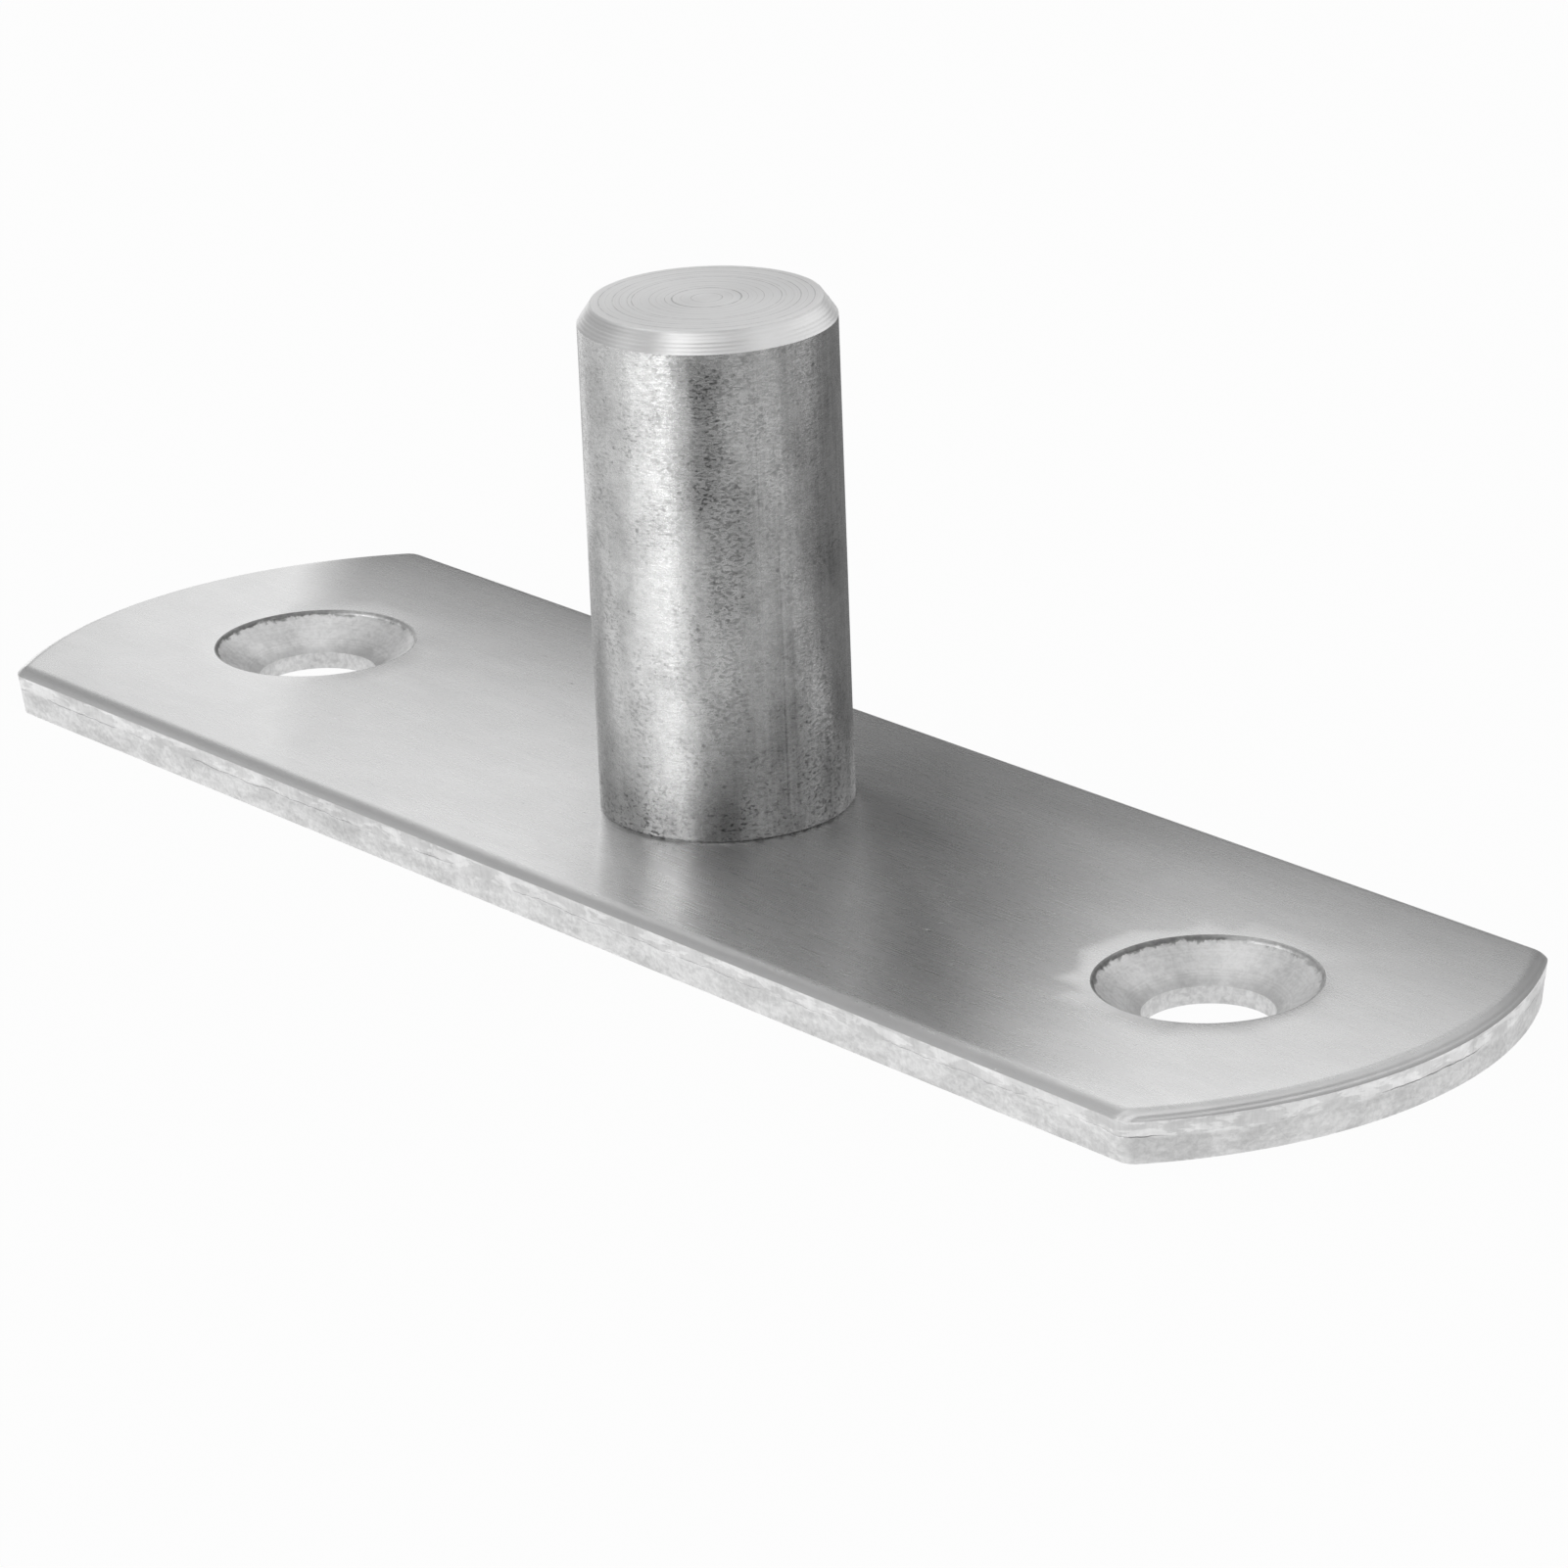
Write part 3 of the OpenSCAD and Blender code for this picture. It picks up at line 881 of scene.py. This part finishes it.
height = wires.plus(height, scuffed, 0.7)
height = wires.plus(height, dirt, -0.5)
height = wires.plus(height, specks, -0.6)
height = wires.plus(height, marks, -0.6)
give_looks(wires, shader, tone, rough, height, 0.009 * mm)

# Turned end of the bar
turned_steel, wires, shader, place = new_metal("turned_steel", 0.4, 0.35)
spread = wires.parts(place)
wires.feed(shader.inputs["Tangent"], wires.xyz(spread[0], spread[1], 0.0))
fine_rings = effect(wires, rings_effect, Place=place, Pitch=0.09 * mm, Wobble=0.6)
rings = fine_rings["Rings"]
wide = effect(wires, rings_effect, Place=place, Pitch=0.5 * mm, Wobble=0.3, Seed=4.0)["Rings"]
tone = wires.plus(0.84, rings, 0.18)
tone = wires.plus(tone, wide, 0.08)
broken = patches(wires, place, (1.2, 1.2, 1.2), 0.36, 0.56)
# Grooves where the facing tool paused: radius, half width and how dark
tool_rings = [
    (0.9 * mm, 0.05 * mm, 0.35),
    (1.5 * mm, 0.03 * mm, 0.2),
    (2.0 * mm, 0.07 * mm, 0.55),
    (2.4 * mm, 0.04 * mm, 0.35),
    (2.9 * mm, 0.03 * mm, 0.2),
    (3.3 * mm, 0.04 * mm, 0.3),
    (3.8 * mm, 0.03 * mm, 0.2),
    (4.3 * mm, 0.05 * mm, 0.4),
    (4.55 * mm, 0.04 * mm, 0.3),
    (5.0 * mm, 0.03 * mm, 0.25),
    (5.4 * mm, 0.05 * mm, 0.4),
    (5.8 * mm, 0.03 * mm, 0.25),
    (6.2 * mm, 0.05 * mm, 0.4),
]
grooves = 0.0
for ring_radius, half_width, dark in tool_rings:
    away = wires.calc("ABSOLUTE", wires.calc("SUBTRACT", fine_rings["Radius"], ring_radius))
    line = wires.fade(away, half_width, half_width * 0.3)
    grooves = wires.plus(grooves, line, dark)
grooves = wires.times(grooves, wires.plus(0.25, broken, 0.75))
tone = wires.plus(tone, grooves, -0.65)
face_height = pin_sizes["Top height"]
on_face = wires.fade(spread[2], face_height - 0.2 * mm, face_height - 0.05 * mm)
rough = wires.plus(0.4, on_face, 0.12)
height = wires.plus(wires.plus(wide, rings, 0.6), grooves, -1.5)
give_looks(wires, shader, tone, rough, height, 0.01 * mm)

pin_mesh = run_tree(turned_pin_tree(drawn_steel, turned_steel), outline_mesh, pin_sizes)
form = bmesh.new()
form.from_mesh(pin_mesh)
bmesh.ops.remove_doubles(form, verts=form.verts, dist=weld_gap)
bmesh.ops.recalc_face_normals(form, faces=form.faces)
form.to_mesh(pin_mesh)
form.free()
pin_mesh.name = "pivot_pin_finished"
pin_mesh.polygons.foreach_set("use_smooth", [True] * len(pin_mesh.polygons))
pin_mesh.set_sharp_from_angle(angle=math.radians(32))
pivot_pin = bpy.data.objects.new("pivot_pin_finished", pin_mesh)
bpy.context.scene.collection.objects.link(pivot_pin)
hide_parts("pivot_pin")
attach(pivot_pin, "root")

# Studio. A pale floor, a round tent of soft boxes and dark screens, and the camera where the
# photographer stood. None of this belongs to the hinge.
tent_radius = 180 * mm
floor_mesh = bpy.data.meshes.new("floor")
floor_height = -0.05 * mm
corners = [(x, y, floor_height) for x, y in ((-4, -4), (4, -4), (4, 4), (-4, 4))]
floor_mesh.from_pydata(corners, [], [(0, 1, 2, 3)])
floor = bpy.data.objects.new("floor", floor_mesh)
bpy.context.scene.collection.objects.link(floor)
floor_paint = bpy.data.materials.new("floor_paint")
floor_paint.use_nodes = True
floor_paint.node_tree.nodes.clear()
wires = Wiring(floor_paint.node_tree)
# The camera and the metal see an even glow with a little paint in it, which takes the shadow
paint = wires.node("ShaderNodeBsdfDiffuse", {"Color": (0.9, 0.9, 0.9, 1.0)})
glow = wires.node("ShaderNodeEmission", {"Color": (1.0, 1.0, 1.0, 1.0), "Strength": 1.0})
ray = wires.node("ShaderNodeLightPath").outputs
seen = wires.calc("ADD", ray["Is Camera Ray"], ray["Is Glossy Ray"])
seen = wires.calc("ADD", seen, ray["Is Transmission Ray"], clamp=True)
glow_share = wires.times(seen, 0.96)
mixed = wires.node("ShaderNodeMixShader", {0: glow_share, 1: paint.outputs[0], 2: glow.outputs[0]})
# From below the floor is clear, so that the underside can be seen
clear = wires.node("ShaderNodeBsdfTransparent")
below = wires.node("ShaderNodeNewGeometry").outputs["Backfacing"]
mixed = wires.node("ShaderNodeMixShader", {0: below, 1: mixed.outputs[0], 2: clear.outputs[0]})
wires.node("ShaderNodeOutputMaterial", {0: mixed.outputs[0]})
floor_mesh.materials.append(floor_paint)


def tent_panel(name, corners, brightness):
    """One soft box or screen of the tent, seen by the metal alone."""
    mesh = bpy.data.meshes.new(name)
    quads = [(2 * i, 2 * i + 2, 2 * i + 3, 2 * i + 1) for i in range(len(corners) // 2 - 1)]
    mesh.from_pydata(corners, [], quads)
    cloth = bpy.data.materials.new(name)
    cloth.use_nodes = True
    cloth.node_tree.nodes.clear()
    threads = Wiring(cloth.node_tree)
    colour = (1.0, 1.0, 1.0, 1.0)
    light = threads.node("ShaderNodeEmission", {"Color": colour, "Strength": brightness})
    threads.node("ShaderNodeOutputMaterial", {0: light.outputs[0]})
    cloth.cycles.emission_sampling = "AUTO" if brightness > 1.2 else "NONE"
    mesh.materials.append(cloth)
    panel = bpy.data.objects.new(name, mesh)
    bpy.context.scene.collection.objects.link(panel)
    panel.visible_camera = False
    panel.visible_diffuse = False
    panel.visible_shadow = False


# Panels of the tent: first and last azimuth, lower and upper edge, brightness
tent_panels = [
    (246, 255, 25, 90, 4.0),
    (255, 270, 0, 50, 2.5),
    (255, 270, 50, 90, 1.9),
    (270, 285, 0, 50, 5.0),
    (240, 270, 90, 260, 0.15),
    (270, 285, 50, 190, 0.15),
    (285, 330, 0, 90, 0.05),
    (285, 360, 90, 190, 0.05),
    (330, 360, 0, 90, 0.48),
    (0, 60, 0, 25, 0.9),
    (0, 60, 25, 90, 0.06),
    (0, 60, 90, 190, 0.85),
    (270, 302, 190, 260, 3.0),
    (302, 390, 190, 260, 1.2),
    (60, 107, 0, 60, 0.3),
    (60, 107, 60, 190, 0.85),
    (107, 119, 0, 150, 0.3),
    (119, 126, 0, 30, 1.05),
    (119, 127.5, 30, 60, 1.0),
    (119, 130, 60, 88, 0.9),
    (119, 132.5, 88, 112, 1.0),
    (119, 138, 112, 150, 1.1),
    (107, 150, 150, 200, 1.35),
    (107, 165, 200, 260, 0.6),
    (126, 142, 0, 30, 0.0),
    (127.5, 142, 30, 60, 0.0),
    (130, 142, 60, 88, 0.0),
    (142, 150, 0, 88, 1.15),
    (150, 165, 0, 88, 1.03),
    (132.5, 147, 88, 112, 0.02),
    (147, 165, 88, 112, 1.15),
    (138, 153, 112, 150, 0.02),
    (153, 165, 112, 150, 0.9),
    (150, 163, 150, 200, 0.05),
    (163, 180, 150, 200, 1.0),
    (165, 180, 200, 260, 0.9),
    (165, 180, 0, 25, 1.5),
    (165, 180, 25, 90, 0.3),
    (165, 210, 90, 150, 0.3),
    (180, 210, 0, 90, 0.4),
    (210, 246, 50, 90, 0.4),
    (180, 210, 150, 260, 0.25),
    (210, 225, 90, 260, 0.35),
    (210, 225, 0, 50, 1.2),
    (225, 240, 0, 50, 0.7),
    (225, 240, 90, 260, 0.7),
]
for number, (first, last, low, high, brightness) in enumerate(tent_panels):
    corners = []
    for step in range(7):
        a = math.radians(first + (last - first) * step / 6)
        x = tent_radius * math.cos(a)
        y = tent_radius * math.sin(a)
        corners += [(x, y, low * mm), (x, y, high * mm)]
    tent_panel("tent_panel_" + str(number), corners, brightness)

# Soft box over the hinge, and a low dark card close behind the plate
overhead_boxes = [(-100, 100, -100, 30, 1.0), (-100, 100, 30, 100, 0.3), (100, 200, -60, 100, 0.15)]
for number, (left, right, near, far, brightness) in enumerate(overhead_boxes):
    corners = [(x * mm, y * mm, 260 * mm) for x in (left, right) for y in (near, far)]
    tent_panel("overhead_box_" + str(number), corners, brightness)
for number, (start, end, brightness) in enumerate([(-75, -8, 0.16), (-8, 22, 0.2), (22, 75, 0.2)]):
    corners = [(x * mm, 26 * mm, z * mm) for x in (start, end) for z in (1, 18)]
    tent_panel("back_card_" + str(number), corners, brightness)

# Grey mats on the floor, outside the strip of floor that the plate's side shows
floor_mats = [(180, 240, 28, 0.72), (300, 420, 28, 0.6), (420, 495, 17, 0.2)]
for number, (first, last, gap, brightness) in enumerate(floor_mats):
    corners = []
    for step in range(first, last + 1, 5):
        x = math.cos(math.radians(step))
        y = math.sin(math.radians(step))
        inner = min(gap * mm / max(abs(y), 0.01), 70 * mm / max(abs(x), 0.01))
        corners += [(x * inner, y * inner, 0.2 * mm), (x * tent_radius, y * tent_radius, 0.2 * mm)]
    tent_panel("floor_mat_" + str(number), corners, brightness)

# Even light of the room
world = bpy.data.worlds.new("studio")
bpy.context.scene.world = world
world.use_nodes = True
background = world.node_tree.nodes["Background"]
background.inputs["Color"].default_value = (0.55, 0.55, 0.55, 1.0)
background.inputs["Strength"].default_value = 1.0

# The photographer's camera, solved from edges of the hinge in the photograph
camera_data = bpy.data.cameras.new("camera")
camera_data.sensor_width = 36.0
camera_data.lens = 149.585
camera_data.clip_start = 0.01
camera_data.clip_end = 20.0
camera = bpy.data.objects.new("camera", camera_data)
bpy.context.scene.collection.objects.link(camera)
place = Matrix.Translation(Vector((276.7751, -227.298, 136.7287)) * mm)
pan = Matrix.Rotation(0.8740, 4, "Z")
tilt = Matrix.Rotation(-0.3556, 4, "X")
roll = Matrix.Rotation(0.0397, 4, "Y")
level = Matrix.Rotation(math.radians(90), 4, "X")
camera.matrix_world = place @ (pan @ tilt @ roll) @ level
bpy.context.scene.camera = camera
bpy.context.scene.view_settings.view_transform = "Standard"
